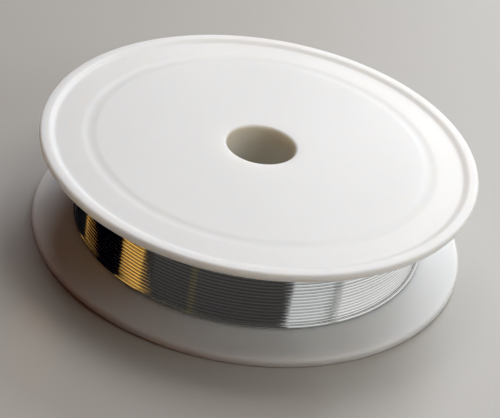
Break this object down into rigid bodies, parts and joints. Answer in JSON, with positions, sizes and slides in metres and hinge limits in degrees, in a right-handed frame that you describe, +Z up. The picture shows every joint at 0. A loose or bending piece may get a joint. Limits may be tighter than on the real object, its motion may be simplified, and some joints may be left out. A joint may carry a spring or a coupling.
{
  "type": "solder wire spool",
  "caption": "Flanged plastic spool of bright solder wire, wound in even layers on a hollow barrel, with a through bore for a spindle and raised rims to stand on.",
  "frame": {"origin": "centre of the spindle bore in the plane of the lower rim that the spool stands on", "axes": "+Z up along the spool's axis, from the lower rim to the upper rim; +X and +Y are any two radii, as the flanges are round"},
  "size_m": [0.065, 0.065, 0.0159],
  "materials": {
    "spool_plastic": "satin",
    "solder": "polished",
    "flux": "gloss"
  },
  "bodies": {
    "root": {"upper_flange_half": "spool_plastic", "lower_flange_half": "spool_plastic", "first_wire_layer": "solder", "second_wire_layer": "solder", "outer_wire_layer": "solder", "closing_turn": "solder", "anchored_wire_end": "solder", "free_wire_end": "solder", "flux_core": "flux"}
  },
  "joints": []
}
